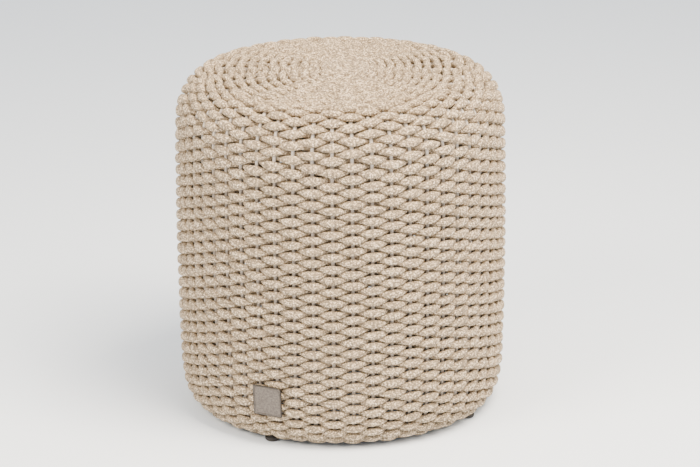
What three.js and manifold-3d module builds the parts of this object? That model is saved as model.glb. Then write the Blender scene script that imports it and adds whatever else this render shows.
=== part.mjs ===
// Outdoor ottoman footstool: a rope cover woven round a cage of thin rods, over a welded tube frame
// Millimetres, +Z up, origin on the floor under the middle. The front faces -Y.
// An azimuth is an angle round +Z from the front, positive towards +X.

import * as THREE from "three";
import { mergeVertices } from "three/addons/utils/BufferGeometryUtils.js";
import Module from "manifold-3d";

const wasm = await Module();
wasm.setup();

// Outer shape of the woven cover
const overallDiameter = 430;
const overallHeight = 450;
const seatCrown = 3.5;
const shoulderWidth = 41;
const shoulderHeight = 60;
const barrelBulge = 4;
const hemWidth = 32;
const hemHeight = 57;
const hemFullness = 2.4;

// Rope, thickness measured through the wall of the weave
const ropeThickness = 8;
const ropeCoreDiameter = 20;

// Rods that the rope is woven round
const rodDiameter = 4.5;
const rodCount = 52;
const rodPhase = THREE.MathUtils.degToRad(-2.95);
const hubDiameter = 64;
const hubBore = 24;
const seatHoopDiameter = 326;

// Welded frame inside
const tubeDiameter = 14;
const tubeWall = 1.5;
const seatRingInset = 55;
const uprightInset = 6.2;
const uprightCount = 4;

// Feet
const legCount = 4;
const legAzimuth = THREE.MathUtils.degToRad(-29.1);
const legTubeDiameter = 12;
const legTubeWall = 1.5;
const glideDiameter = 18.5;
const glideHeight = 5.2;
const glideRound = 2.6;
const glideStemLength = 12;
const glideStemTaper = 1;

// Blank name plate
const plateWidth = 40;
const plateHeight = 40.5;
const plateThickness = 1.8;
const plateCorner = 1.2;
const plateLargeCorner = 5;
const plateEdgeBevel = 0.3;
const plateCentreHeight = 65.5;
const plateStandoff = 3;
const plateAzimuth = THREE.MathUtils.degToRad(-26.1);
const plateLean = THREE.MathUtils.degToRad(3.5);
const studDiameter = 4;
const studSpacing = 22;
const studEndLength = 1;
const stripWidth = 10;
const stripLength = 32;
const stripThickness = 2;
const stripCorner = 2;
const nutWidth = 7;
const nutThickness = 2.4;

// Clearances
const slip = 0.3;
const weldGap = 0.5;
const cutOverrun = 5;

// Facet counts
const shoulderSteps = 4;
const sideSteps = 2;
const hemSteps = 4;
const hemRoundSteps = 2;
const rodSides = 5;
const ringSides = 8;
const cradleSteps = 3;
const tubeSides = 16;
const smallSides = 12;
const glideSides = 16;
const roundSteps = 2;
const nutSides = 6;

// Values worked out from the sizes above
const fullTurn = 2 * Math.PI;
const quarterTurn = Math.PI / 2;
const outerRadius = overallDiameter / 2;
const rodRadius = rodDiameter / 2;
const tubeRadius = tubeDiameter / 2;
const hemBottom = glideHeight + slip;
const halfWeaveHeight = (overallHeight - hemBottom) / 2;
const middleHeight = hemBottom + halfWeaveHeight;
const rodDepth = ropeThickness + slip + rodRadius;
const channelWidth = rodDiameter + 2 * slip;
const innerSkinDepth = ropeThickness + channelWidth;
const wallDepth = innerSkinDepth + ropeThickness;
const seatRingRadius = outerRadius - seatRingInset;
const uprightAzimuth = legAzimuth + fullTurn / legCount / 2;

// Materials

function material(colour, roughness, metalness) {
  return new THREE.MeshStandardMaterial({ color: colour, roughness, metalness });
}

const ropeMaterial = () => material(0xcdbda8, 0.95, 0);
const frameMaterial = () => material(0xd5d2cc, 0.5, 0.2);
const plateMaterial = () => material(0xb0a69c, 0.4, 0.8);
const steelMaterial = () => material(0xb9b9b6, 0.35, 0.9);
const glideMaterial = () => material(0x2f2b2a, 0.7, 0);

// Outlines, as points with x for the radius and y for the height

function barrelPoint(radius, height) {
  const share = (height - middleHeight) / halfWeaveHeight;
  return new THREE.Vector2(radius - barrelBulge * share ** 2, height);
}

function shoulderPoint(turn) {
  const radius = outerRadius - shoulderWidth + shoulderWidth * Math.sin(turn);
  const height = overallHeight - seatCrown - shoulderHeight + shoulderHeight * Math.cos(turn);
  return barrelPoint(radius, height);
}

function hemPoint(turn) {
  const power = 2 / hemFullness;
  const radius = outerRadius - hemWidth + hemWidth * Math.abs(Math.cos(turn)) ** power;
  const height = hemBottom + hemHeight - hemHeight * Math.sin(turn) ** power;
  return barrelPoint(radius, height);
}

function seatPoint(radius) {
  const edgeRadius = shoulderPoint(0).x;
  return new THREE.Vector2(radius, overallHeight - seatCrown * (radius / edgeRadius) ** 2);
}

// The outside of the weave, from the middle of the seat to the underside of the hem
function weaveOutline() {
  const points = [0, hubDiameter / 2, seatHoopDiameter / 2].map(seatPoint);
  for (let step = 0; step <= shoulderSteps; step += 1) {
    points.push(shoulderPoint((quarterTurn * step) / shoulderSteps));
  }
  const sideTop = shoulderPoint(quarterTurn).y;
  const sideBottom = hemPoint(0).y;
  for (let step = 1; step < sideSteps; step += 1) {
    points.push(barrelPoint(outerRadius, sideTop + ((sideBottom - sideTop) * step) / sideSteps));
  }
  for (let step = 0; step <= hemSteps; step += 1) {
    points.push(hemPoint((quarterTurn * step) / hemSteps));
  }
  return points;
}

// The same outline moved inwards by one depth everywhere, with mitred corners
function insetOutline(points, depth) {
  const normals = points.slice(1).map((point, index) => {
    const along = point.clone().sub(points[index]).normalize();
    return new THREE.Vector2(-along.y, along.x);
  });
  return points.map((point, index) => {
    const before = normals[Math.max(index - 1, 0)];
    const after = normals[Math.min(index, normals.length - 1)];
    const middle = before.clone().add(after).normalize();
    const moved = point.clone().addScaledVector(middle, -depth / middle.dot(after));
    return index === 0 ? new THREE.Vector2(0, point.y - depth) : moved;
  });
}

function heightAt(outline, radius) {
  const index = outline.findIndex((point) => point.x >= radius);
  const [start, end] = [outline[index - 1], outline[index]];
  return start.y + ((end.y - start.y) * (radius - start.x)) / (end.x - start.x);
}

function radiusAt(outline, height) {
  const index = outline.findIndex((point) => point.y <= height);
  const [start, end] = [outline[index - 1], outline[index]];
  return start.x + ((end.x - start.x) * (height - start.y)) / (end.y - start.y);
}

const outerFace = weaveOutline();
const channelOuterFace = insetOutline(outerFace, ropeThickness);
const rodLine = insetOutline(outerFace, rodDepth);
const channelInnerFace = insetOutline(outerFace, innerSkinDepth);
const innerFace = insetOutline(outerFace, wallDepth);
const seatRingLine = insetOutline(outerFace, wallDepth + slip + tubeRadius);

// Stations of the hem on these outlines: the inner skin stops first, then the rods
const hemStart = outerFace.length - 1 - hemSteps;
const lipStation = hemStart + hemSteps / 4;
const rodEndStation = hemStart + hemSteps / 2;

// The base ring lies against the ends of the rods, and the feet stand under it
function baseRingCentre() {
  const end = rodLine[rodEndStation];
  const outwards = outerFace[rodEndStation].clone().sub(end).normalize();
  return end.clone().addScaledVector(outwards, -(rodRadius + slip + tubeRadius));
}

const baseRing = baseRingCentre();

// Geometry helpers

function turned(points, sides, start = 0) {
  return new THREE.LatheGeometry(points, sides, start).rotateX(quarterTurn);
}

function roundBar(diameter, length, sides) {
  return new THREE.CylinderGeometry(diameter / 2, diameter / 2, length, sides).rotateX(quarterTurn);
}

// A tube along +Z that starts at zero height
function roundTube(diameter, wall, length, sides) {
  const outside = diameter / 2;
  const inside = outside - wall;
  const corners = [[outside, 0], [outside, length], [inside, length], [inside, 0], [outside, 0]];
  return turned(corners.map(([radius, height]) => new THREE.Vector2(radius, height)), sides);
}

function ring(radius, diameter, sides, segments) {
  return new THREE.TorusGeometry(radius, diameter / 2, sides, segments).rotateZ(rodPhase - quarterTurn);
}

function polygon(radius, sides) {
  const turns = Array.from({ length: sides }, (_, corner) => (fullTurn * corner) / sides);
  return new THREE.Shape(turns.map((turn) => {
    return new THREE.Vector2(radius * Math.cos(turn), radius * Math.sin(turn));
  }));
}

function toSolid(geometry) {
  const bare = geometry.clone();
  bare.deleteAttribute("normal");
  bare.deleteAttribute("uv");
  const merged = mergeVertices(bare);
  const corners = [];
  for (let first = 0; first < merged.index.count; first += 3) {
    const triangle = [0, 1, 2].map((offset) => merged.index.getX(first + offset));
    if (new Set(triangle).size === 3) {
      corners.push(...triangle);
    }
  }
  const vertProperties = new Float32Array(merged.attributes.position.array);
  const triVerts = new Uint32Array(corners);
  return new wasm.Manifold(new wasm.Mesh({ numProp: 3, vertProperties, triVerts }));
}

function toGeometry(solid) {
  const { vertProperties, triVerts } = solid.getMesh();
  const geometry = new THREE.BufferGeometry();
  geometry.setAttribute("position", new THREE.BufferAttribute(vertProperties, 3));
  geometry.setIndex(new THREE.BufferAttribute(triVerts, 1));
  geometry.computeVertexNormals();
  return geometry;
}

function named(name, geometry, surface) {
  const mesh = new THREE.Mesh(geometry, surface);
  mesh.name = name;
  return mesh;
}

// A point at an azimuth, a radius and a height
function placeAt(azimuth, radius, height) {
  return new THREE.Vector3(radius * Math.sin(azimuth), -radius * Math.cos(azimuth), height);
}

// Woven cover

// The hem's lowest turns go round the base ring: the inner side up to the lip, then back under the ring
function hemLoop() {
  const innerRadius = baseRing.x - tubeRadius - slip - ropeThickness;
  const last = outerFace[outerFace.length - 1];
  const roundRadius = last.x - innerRadius;
  const points = [];
  for (let step = 1; step <= hemRoundSteps; step += 1) {
    const turn = (quarterTurn * step) / hemRoundSteps;
    const radius = last.x - roundRadius * Math.sin(turn);
    points.push(new THREE.Vector2(radius, last.y + roundRadius * (1 - Math.cos(turn))));
  }
  points.push(new THREE.Vector2(innerRadius, baseRing.y));
  const cradleRadius = tubeRadius + slip;
  for (let step = 0; step <= cradleSteps; step += 1) {
    const turn = fullTurn / 2 + (fullTurn * step) / ringSides;
    const radius = baseRing.x + cradleRadius * Math.cos(turn);
    points.push(new THREE.Vector2(radius, baseRing.y + cradleRadius * Math.sin(turn)));
  }
  return points;
}

// Outer and inner skin with a narrow channel for the rods, joined by the core at the middle of the seat
function coverProfile() {
  const coreRadius = ropeCoreDiameter / 2;
  const coreTop = new THREE.Vector2(coreRadius, heightAt(channelOuterFace, coreRadius));
  const coreBottom = new THREE.Vector2(coreRadius, heightAt(channelInnerFace, coreRadius));
  return [
    ...outerFace,
    ...hemLoop(),
    ...channelOuterFace.slice(1, rodEndStation + 2).reverse(),
    coreTop,
    coreBottom,
    ...channelInnerFace.slice(1, lipStation + 1),
    ...innerFace.slice(0, lipStation + 1).reverse(),
  ];
}

function wovenCover(plateFrame) {
  let solid = toSolid(turned(coverProfile().reverse(), rodCount, rodPhase));
  const legCut = roundBar(legTubeDiameter + 2 * slip, 2 * baseRing.y, smallSides);
  for (let leg = 0; leg < legCount; leg += 1) {
    const place = placeAt(legAzimuth + (fullTurn * leg) / legCount, baseRing.x, 0);
    solid = solid.subtract(toSolid(legCut.clone().translate(...place.toArray())));
  }
  const studCut = roundBar(studDiameter + 2 * slip, studLength() + cutOverrun, smallSides);
  for (const offset of studOffsets) {
    const cut = studCut.clone().translate(0, offset, -studLength() / 2);
    solid = solid.subtract(toSolid(cut.applyMatrix4(plateFrame.matrixWorld)));
  }
  return named("woven_cover", toGeometry(solid), ropeMaterial());
}

// Rod cage

// A path that passes straight from station to station
class StationPath extends THREE.Curve {
  constructor(stations) {
    super();
    this.stations = stations;
  }

  getPoint(share, target = new THREE.Vector3()) {
    const place = share * (this.stations.length - 1);
    const index = Math.min(Math.floor(place), this.stations.length - 2);
    return target.copy(this.stations[index]).lerp(this.stations[index + 1], place - index);
  }

  getUtoTmapping(share) {
    return share;
  }
}

function rod(firstStation, azimuth) {
  const stations = rodLine.slice(firstStation, rodEndStation + 1);
  const path = new StationPath(stations.map((point) => placeAt(0, point.x, point.y)));
  const section = polygon(rodRadius, rodSides);
  const options = { steps: stations.length - 1, extrudePath: path };
  return new THREE.ExtrudeGeometry(section, options).rotateZ(azimuth);
}

function hub() {
  const outside = hubDiameter / 2 + rodRadius;
  const inside = hubBore / 2;
  const bottom = rodLine[1].y - rodRadius;
  return roundTube(2 * outside, outside - inside, rodDiameter, rodCount / 2).translate(0, 0, bottom);
}

// Every second rod runs on to the hub, the others end on the hoop at the edge of the seat
function rodCage() {
  const hoop = ring(rodLine[2].x, rodDiameter, rodSides, rodCount / 2).translate(0, 0, rodLine[2].y);
  let solid = toSolid(hub()).add(toSolid(hoop));
  for (let index = 0; index < rodCount; index += 1) {
    const azimuth = rodPhase + (fullTurn * index) / rodCount;
    solid = solid.add(toSolid(rod(index % 2 === 0 ? 2 : 1, azimuth)));
  }
  return named("rod_cage", toGeometry(solid), frameMaterial());
}

// Frame

const seatRingHeight = heightAt(seatRingLine, seatRingRadius);
const uprightFootRadius = baseRing.x - uprightInset;

function frameRing(name, radius, height) {
  const mesh = named(name, ring(radius, tubeDiameter, ringSides, rodCount), frameMaterial());
  mesh.position.z = height;
  return mesh;
}

function upright(index) {
  const rise = seatRingHeight - baseRing.y;
  const lean = Math.atan2(uprightFootRadius - seatRingRadius, rise);
  const endGap = tubeRadius + slip;
  const length = rise / Math.cos(lean) - 2 * endGap;
  const tube = roundTube(tubeDiameter, tubeWall, length, tubeSides).translate(0, 0, endGap);
  const mesh = named(`upright_${index + 1}`, tube, frameMaterial());
  mesh.position.set(0, -uprightFootRadius, baseRing.y);
  mesh.rotation.x = -lean;
  const group = new THREE.Group();
  group.rotation.z = uprightAzimuth + (fullTurn * index) / uprightCount;
  group.add(mesh);
  return group;
}

function seatBar(name, start, end, azimuth) {
  const tube = roundTube(tubeDiameter, tubeWall, end - start, tubeSides);
  const mesh = named(name, tube.translate(0, 0, start).rotateX(quarterTurn), frameMaterial());
  mesh.position.z = seatRingHeight;
  mesh.rotation.z = azimuth;
  return mesh;
}

function seatBars() {
  const reach = seatRingRadius - tubeRadius - weldGap;
  const crossAzimuth = uprightAzimuth + quarterTurn;
  return [
    seatBar("seat_crossbar", -reach, reach, uprightAzimuth),
    seatBar("seat_half_bar_1", tubeRadius + weldGap, reach, crossAzimuth),
    seatBar("seat_half_bar_2", tubeRadius + weldGap, reach, crossAzimuth + Math.PI),
  ];
}

// Feet

function legTube() {
  const length = baseRing.y - tubeRadius - slip - hemBottom;
  return roundTube(legTubeDiameter, legTubeWall, length, smallSides).translate(0, 0, hemBottom);
}

function glide() {
  const headRadius = glideDiameter / 2;
  const stemRadius = legTubeDiameter / 2 - legTubeWall - slip;
  const stemTop = glideHeight + glideStemLength;
  const profile = [new THREE.Vector2(0, 0)];
  for (let step = 0; step <= roundSteps; step += 1) {
    const turn = (quarterTurn * step) / roundSteps;
    const radius = headRadius - glideRound * (1 - Math.sin(turn));
    profile.push(new THREE.Vector2(radius, glideRound * (1 - Math.cos(turn))));
  }
  profile.push(new THREE.Vector2(headRadius, glideHeight));
  profile.push(new THREE.Vector2(stemRadius, glideHeight));
  profile.push(new THREE.Vector2(stemRadius, stemTop - glideStemTaper));
  profile.push(new THREE.Vector2(stemRadius - glideStemTaper, stemTop));
  profile.push(new THREE.Vector2(0, stemTop));
  return turned(profile, glideSides);
}

function foot(index) {
  const place = placeAt(legAzimuth + (fullTurn * index) / legCount, baseRing.x, 0);
  const stub = named(`leg_stub_${index + 1}`, legTube(), frameMaterial());
  const cap = named(`foot_glide_${index + 1}`, glide(), glideMaterial());
  stub.position.copy(place);
  cap.position.copy(place);
  return [stub, cap];
}

// Name plate and its fixings, in a frame whose +Z points out of the plate and +Y up along it

const studOffsets = [studSpacing / 2, -studSpacing / 2];
const plateBackRadius = radiusAt(outerFace, plateCentreHeight) + plateStandoff;

function plateFrameGroup() {
  const leaning = new THREE.Group();
  leaning.position.set(0, -plateBackRadius, plateCentreHeight);
  leaning.rotation.x = quarterTurn + plateLean;
  const group = new THREE.Group();
  group.rotation.z = plateAzimuth;
  group.add(leaning);
  group.updateMatrixWorld(true);
  return { group, leaning };
}

function stripDistance() {
  const leanAllowance = (stripLength / 2) * Math.tan(plateLean);
  return plateBackRadius - radiusAt(innerFace, plateCentreHeight) + slip + leanAllowance;
}

function studLength() {
  return stripDistance() + stripThickness + slip + nutThickness + studEndLength;
}

function roundedPanel(width, height, corners) {
  const [x, y] = [width / 2, height / 2];
  const [topRight, topLeft, bottomLeft, bottomRight] = corners;
  const shape = new THREE.Shape();
  shape.absarc(x - topRight, y - topRight, topRight, 0, quarterTurn);
  shape.absarc(topLeft - x, y - topLeft, topLeft, quarterTurn, 2 * quarterTurn);
  shape.absarc(bottomLeft - x, bottomLeft - y, bottomLeft, 2 * quarterTurn, 3 * quarterTurn);
  shape.absarc(x - bottomRight, bottomRight - y, bottomRight, 3 * quarterTurn, fullTurn);
  return shape;
}

function namePlate() {
  const corners = [plateLargeCorner, plateCorner, plateCorner, plateCorner];
  const inset = 2 * plateEdgeBevel;
  const shape = roundedPanel(plateWidth - inset, plateHeight - inset, corners);
  const geometry = new THREE.ExtrudeGeometry(shape, {
    depth: plateThickness - inset,
    bevelThickness: plateEdgeBevel,
    bevelSize: plateEdgeBevel,
    bevelSegments: 1,
    curveSegments: roundSteps,
  });
  return named("name_plate", geometry.translate(0, 0, plateEdgeBevel), plateMaterial());
}

function plateStud(index) {
  const length = studLength() - slip;
  const bar = roundBar(studDiameter, length, smallSides).translate(0, 0, -slip - length / 2);
  const mesh = named(`plate_stud_${index + 1}`, bar, steelMaterial());
  mesh.position.y = studOffsets[index];
  return mesh;
}

function roundHole(radius, offset) {
  const points = polygon(radius, smallSides).getPoints().reverse();
  return new THREE.Path(points.map((point) => new THREE.Vector2(point.x, point.y + offset)));
}

function backingStrip() {
  const shape = roundedPanel(stripWidth, stripLength, Array(4).fill(stripCorner));
  shape.holes = studOffsets.map((offset) => roundHole(studDiameter / 2 + slip, offset));
  const options = { depth: stripThickness, bevelEnabled: false, curveSegments: roundSteps };
  const mesh = named("plate_backing_strip", new THREE.ExtrudeGeometry(shape, options), steelMaterial());
  mesh.position.z = -stripDistance() - stripThickness;
  return mesh;
}

function plateNut(index) {
  const shape = polygon(nutWidth / 2 / Math.cos(fullTurn / nutSides / 2), nutSides);
  shape.holes = [roundHole(studDiameter / 2 + slip, 0)];
  const options = { depth: nutThickness, bevelEnabled: false };
  const mesh = named(`plate_nut_${index + 1}`, new THREE.ExtrudeGeometry(shape, options), steelMaterial());
  mesh.position.set(0, studOffsets[index], -stripDistance() - stripThickness - slip - nutThickness);
  return mesh;
}

// Assembly

function footstool() {
  const part = new THREE.Group();
  const plate = plateFrameGroup();
  part.add(wovenCover(plate.leaning), rodCage());
  part.add(frameRing("base_ring", baseRing.x, baseRing.y));
  part.add(frameRing("seat_ring", seatRingRadius, seatRingHeight));
  part.add(...seatBars());
  for (let index = 0; index < uprightCount; index += 1) {
    part.add(upright(index));
  }
  for (let index = 0; index < legCount; index += 1) {
    part.add(...foot(index));
  }
  plate.leaning.add(namePlate(), backingStrip());
  for (let index = 0; index < studOffsets.length; index += 1) {
    plate.leaning.add(plateStud(index), plateNut(index));
  }
  part.add(plate.group);
  return part;
}

export default footstool();
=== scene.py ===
"""Looks of the outdoor ottoman footstool: woven rope cover, rods, tube frame, glides and blank name plate.

Laid out as an add-on. Each piece has an operator, and main() calls them in order. Lengths are in metres.
"""

import math

import bmesh
import bpy
import numpy as np
from mathutils import Matrix, Vector


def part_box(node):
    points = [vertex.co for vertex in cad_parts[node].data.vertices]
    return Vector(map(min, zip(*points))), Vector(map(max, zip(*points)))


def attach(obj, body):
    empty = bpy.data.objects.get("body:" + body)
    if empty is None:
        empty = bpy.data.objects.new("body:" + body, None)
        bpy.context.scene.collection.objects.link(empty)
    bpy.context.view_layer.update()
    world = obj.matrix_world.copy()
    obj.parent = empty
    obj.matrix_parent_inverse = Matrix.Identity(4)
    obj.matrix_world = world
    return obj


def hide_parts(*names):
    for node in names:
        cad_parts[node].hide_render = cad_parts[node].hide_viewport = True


bl_info = {
    "name": "Outdoor Ottoman Footstool",
    "version": (1, 0, 0),
    "blender": (4, 5, 0),
    "location": "View3D > Sidebar > Footstool",
    "description": "Builds a round outdoor footstool: woven rope cover, rods, frame, glides and name plate",
    "category": "Object",
}

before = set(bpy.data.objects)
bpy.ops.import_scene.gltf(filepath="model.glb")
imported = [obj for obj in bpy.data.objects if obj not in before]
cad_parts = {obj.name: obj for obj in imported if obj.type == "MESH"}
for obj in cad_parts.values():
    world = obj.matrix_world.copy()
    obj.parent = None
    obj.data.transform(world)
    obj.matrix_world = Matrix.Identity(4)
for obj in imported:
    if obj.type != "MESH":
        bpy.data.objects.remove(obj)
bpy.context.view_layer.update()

# Outer shape of the weave, as in the CAD model
RADIUS = 0.215
HEIGHT = 0.450
CROWN = 0.0035
SHOULDER_WIDTH = 0.041
SHOULDER_HEIGHT = 0.060
BARREL = 0.004
HEM_WIDTH = 0.032
HEM_HEIGHT = 0.057
HEM_FULLNESS = 2.4
HEM_BOTTOM = 0.0055
WALL = 0.008
SLIP = 0.0003
MIDDLE = (HEIGHT + HEM_BOTTOM) / 2
HALF_HEIGHT = (HEIGHT - HEM_BOTTOM) / 2

# Rods and frame, as in the CAD model, apart from the hub plate's thickness and edge
ROD_COUNT = 52
ROD_PHASE = math.radians(-2.95)
ROD_DEPTH = 0.01055
HUB_RADIUS = 0.032
HUB_PLATE_RADIUS = 0.0342
HUB_BORE_RADIUS = 0.012
HUB_THICKNESS = 0.004
HUB_EDGE = 0.0006
HOOP_RADIUS = 0.163
BASE_RING_RADIUS = 0.18625
BASE_RING_HEIGHT = 0.030556
SEAT_RING_RADIUS = 0.160
TUBE_RADIUS = 0.007
LEG_AZIMUTH = math.radians(-29.1)

# Name plate and glides, as in the CAD model, with fuller corners, a groove, collars and ribbed stems
PLATE_WIDTH = 0.040
PLATE_HEIGHT = 0.0405
PLATE_THICKNESS = 0.0018
PLATE_LEAN = math.radians(3.5)
PLATE_LARGE_CORNER = 0.0065
PLATE_CORNER = 0.0014
PLATE_EDGE = 0.0004
PLATE_BORDER = 0.0018
PLATE_GROOVE = 0.0006
GLIDE_RADIUS = 0.00925
GLIDE_HEIGHT = 0.0052
GLIDE_ROUND = 0.0026
GLIDE_TOP_ROUND = 0.0007
COLLAR_RADIUS = 0.0074
COLLAR_BORE = 0.0062
COLLAR_HEIGHT = 0.0042
COLLAR_TAPER = 0.97
STEM_RADIUS = 0.0041
STEM_LENGTH = 0.012
STEM_RIBS = 4
RIB_WAIST = 0.90
RIB_TAPER = 0.985

# Outline: its samples, where the shoulder's weave and the side start on it, and the height the rods end at
OUTLINE_SAMPLES = 1600
SMOOTHED_SAMPLES = 9
SHOULDER_FROM_RADIUS = 0.165
SIDE_FROM_RADIUS = 0.190
ROD_END_HEIGHT = 0.0125

# Rows of rope: where they start inside the hem and end on the seat, and how they stray from even rings
HEM_START_GAP = 0.004
SEAT_END_RADIUS = 0.005
ROW_TILT = 0.0045
WHORL_SHIFT = 0.013
WHORL_RADIUS = 0.150
SEAT_SHIFT = 0.0025
SEAT_SHIFT_RADIUS = 0.190
SEAT_SHIFT_BLEND = 0.030
LEG_CLEARANCE = 0.0092
LEG_REACH = 0.013

# Rope between the rods: the gap in which it swings in full, its dip behind the rods of the side, the swing
# it loses past the rods' ends, and how much of a lost swing lifts it, with more past the rods' ends
FULL_SWING_GAP = 0.020
SIDE_DIP = 0.88
LIP_SWING_LOSS = 0.86
LOSS_TO_LIFT = 0.75
LIP_EXTRA_LIFT = 0.2

# Rope's size: how far stitches fill wider rows, how uneven they are, and the flat coil on the hub
ROW_FILL = 0.95
SIZE_UNEVENNESS = 0.05
COIL_RADIUS = 0.040
COIL_BLEND = 0.010
COIL_FILL = 0.98
COIL_HALF_THICKNESS = 0.0050

# Faces: columns between two rods and sides round the rope, and the same for rods and rings
COLUMNS_PER_ROD = 8
ROPE_SIDES = 12
ROD_SIDES = 10
HOOP_COLUMNS = 104
RING_SIDES = 20
RING_COLUMNS = 144

# Coat of the rods: painted light makes it pale up the shoulder, and painted shade makes it dark on the side
# and again on the seat, by shares of the pale colour
PAINTED_LIGHT_FROM, PAINTED_LIGHT_TO = 0.352, 0.385
PAINTED_SHADE_FROM, PAINTED_SHADE_TO = 0.436, 0.441
PAINTED_SHADE_SHARES = (0.58, 0.55, 0.52)

# Warm square lamps, which look at the footstool's middle, under a faintly blue sky
LIGHT_COLOUR = (1.0, 0.86, 0.68)
LAMP_SIZE = 1.3
LAMP_TARGET = Vector((0, 0, 0.25))
SKY_COLOUR = (0.95, 0.98, 1.0)
FLOOR_HALF_WIDTH = 6.0

# Camera, as fitted to the photograph, with its focal length in pixels of the picture
CAMERA_PLACE = (0, -3.442, 1.363)
CAMERA_PAN = 0.00337
CAMERA_TILT = math.radians(18.31)
CAMERA_ROLL = 0.00737
FOCAL_PIXELS = 2753.7
PICTURE_PIXELS = 700
SENSOR_WIDTH = 36

FULL_TURN = 2 * math.pi


# Outline of the weave

def barrel(radius, height):
    """Outline radius with the barrel's curve taken off."""
    return radius - BARREL * ((height - MIDDLE) / HALF_HEIGHT) ** 2


def outline():
    """Radius and height along the outside of the weave, from the seat's middle to the hem's inner lip."""
    turn = np.linspace(0, math.pi / 2, 60)
    shoulder_r = RADIUS - SHOULDER_WIDTH + SHOULDER_WIDTH * np.sin(turn)
    shoulder_z = HEIGHT - CROWN - SHOULDER_HEIGHT + SHOULDER_HEIGHT * np.cos(turn)
    shoulder_r = barrel(shoulder_r, shoulder_z)
    seat_r = np.linspace(0, shoulder_r[0], 80)[:-1]
    seat_z = HEIGHT - CROWN * (seat_r / shoulder_r[0]) ** 2
    power = 2 / HEM_FULLNESS
    hem_z = HEM_BOTTOM + HEM_HEIGHT * (1 - np.sin(turn) ** power)
    hem_r = barrel(RADIUS - HEM_WIDTH + HEM_WIDTH * np.abs(np.cos(turn)) ** power, hem_z)
    side_z = np.linspace(shoulder_z[-1], hem_z[0], 90)[1:-1]
    side_r = barrel(RADIUS + 0 * side_z, side_z)
    lip_r = BASE_RING_RADIUS - TUBE_RADIUS - SLIP - WALL
    bend = hem_r[-1] - lip_r
    loop_r = hem_r[-1] - bend * np.sin(turn[1:])
    loop_z = hem_z[-1] + bend * (1 - np.cos(turn[1:]))
    lip_z = np.linspace(loop_z[-1], BASE_RING_HEIGHT, 12)[1:]
    r = np.concatenate([seat_r, shoulder_r, side_r, hem_r, loop_r, lip_r + 0 * lip_z])
    z = np.concatenate([seat_z, shoulder_z, side_z, hem_z, loop_z, lip_z])
    return r, z


class Outline:
    """The outline by its own length, with its outward direction."""

    def __init__(self):
        r, z = outline()
        length = np.concatenate([[0], np.cumsum(np.hypot(np.diff(r), np.diff(z)))])
        self.total = length[-1]
        self.s = np.linspace(0, self.total, OUTLINE_SAMPLES)
        self.r = np.interp(self.s, length, r)
        self.z = np.interp(self.s, length, z)
        slope_r, slope_z = self.slope(self.r), self.slope(self.z)
        size = np.hypot(slope_r, slope_z)
        self.out_r, self.out_z = -slope_z / size, slope_r / size

    def slope(self, values):
        """How fast values change along the outline, smoothed over a few samples."""
        padded = np.pad(np.gradient(values, self.s), SMOOTHED_SAMPLES // 2, mode="edge")
        return np.convolve(padded, np.ones(SMOOTHED_SAMPLES) / SMOOTHED_SAMPLES, "valid")

    def at(self, s, depth):
        """Radius, height and outward direction at a length along the outline and a depth under it."""
        out_r = np.interp(s, self.s, self.out_r)
        out_z = np.interp(s, self.s, self.out_z)
        r = np.interp(s, self.s, self.r) - depth * out_r
        z = np.interp(s, self.s, self.z) - depth * out_z
        return r, z, out_r, out_z

    def spacing(self, s, depth):
        """How much closer two turns lie at a depth than on the outline."""
        near, closest, widest = 0.004, 0.6, 1.05
        ahead, behind = self.at(s + near, depth), self.at(s - near, depth)
        apart = np.hypot(ahead[0] - behind[0], ahead[1] - behind[1])
        return np.clip(apart / (2 * near), closest, widest)

    def on_seat(self, radius):
        """Length along the outline where the seat reaches a radius."""
        seat = self.s < self.total / 4
        return float(np.interp(radius, self.r[seat], self.s[seat]))

    def on_side(self, height):
        """Length along the outline where the side passes a height."""
        side = self.r > SIDE_FROM_RADIUS
        order = np.argsort(self.z[side])
        return float(np.interp(height, self.z[side][order], self.s[side][order]))

    def in_hem(self, radius):
        """Length along the outline where the hem curls in to a radius."""
        hem = self.s > self.on_side(HEM_BOTTOM + HEM_HEIGHT)
        return float(np.interp(-radius, -self.r[hem], self.s[hem]))


# Lengths along the outline where the parts of the weave start. On the flat seat they are radii as well.
weave = Outline()
SHOULDER_START = weave.on_seat(SHOULDER_FROM_RADIUS)
SIDE_START = weave.on_side(HEIGHT - CROWN - SHOULDER_HEIGHT)
HEM_START = weave.on_side(HEM_BOTTOM + HEM_HEIGHT)
ROD_END = weave.on_side(ROD_END_HEIGHT)
LEG_PLACE = weave.in_hem(BASE_RING_RADIUS)
SEAT_EDGE = HOOP_RADIUS + 0.004
ROD_TIP = ROD_END + 0.012


# Settings

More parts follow.
